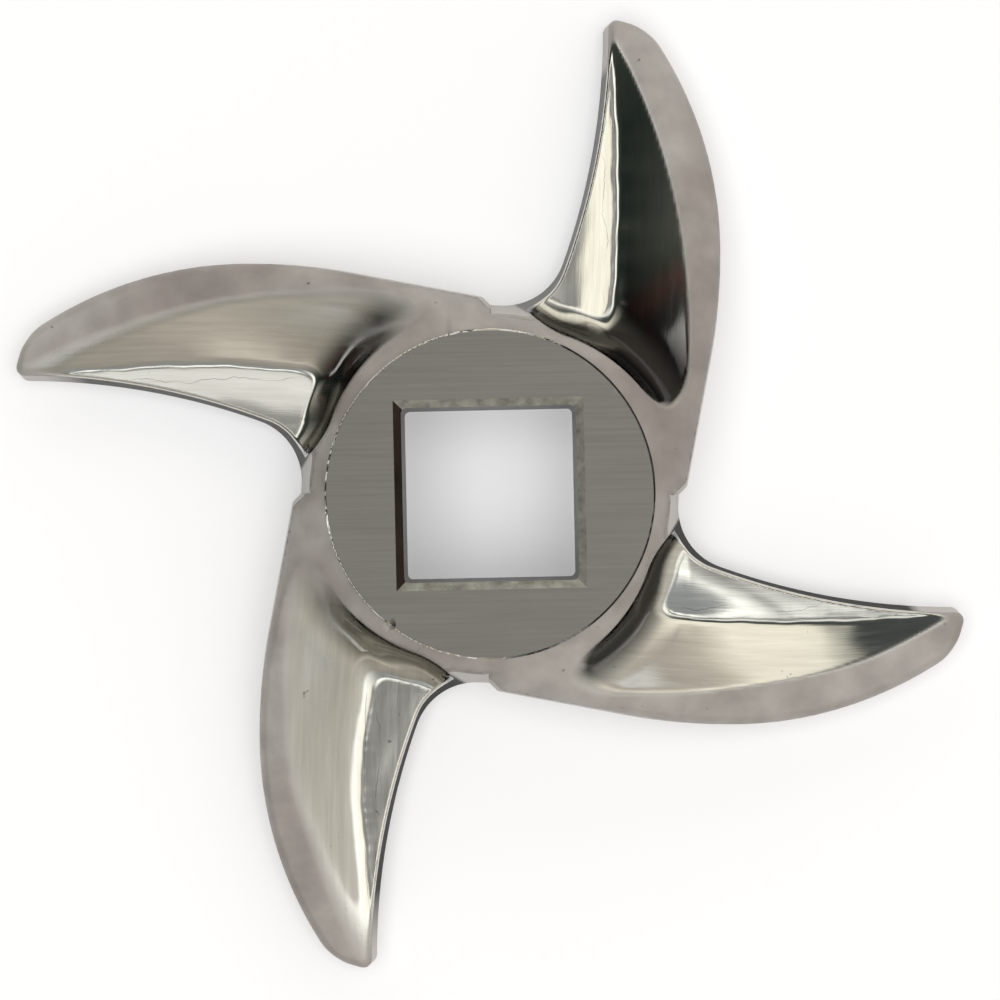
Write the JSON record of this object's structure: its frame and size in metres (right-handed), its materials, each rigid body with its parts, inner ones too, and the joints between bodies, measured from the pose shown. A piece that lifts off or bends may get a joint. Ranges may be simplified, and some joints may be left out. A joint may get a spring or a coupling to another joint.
{
  "type": "meat grinder knife",
  "caption": "Curved-arm meat grinder knife, cast in one piece with polished scooped arms, a turned hub and a square drive hole.",
  "frame": {"origin": "on the axis of the square hole, in the flat face that runs against the hole plate", "axes": "+Z along the axis from the flat face to the turned hub face; X and Y square to the sides of the square hole, with the first arm along +Y"},
  "size_m": [0.0946, 0.0946, 0.016],
  "materials": {
    "stainless": "cast skin on hub and arm backs, hand-polished scoops, turned hub face"
  },
  "bodies": {
    "root": {"knife": "stainless"}
  },
  "joints": []
}
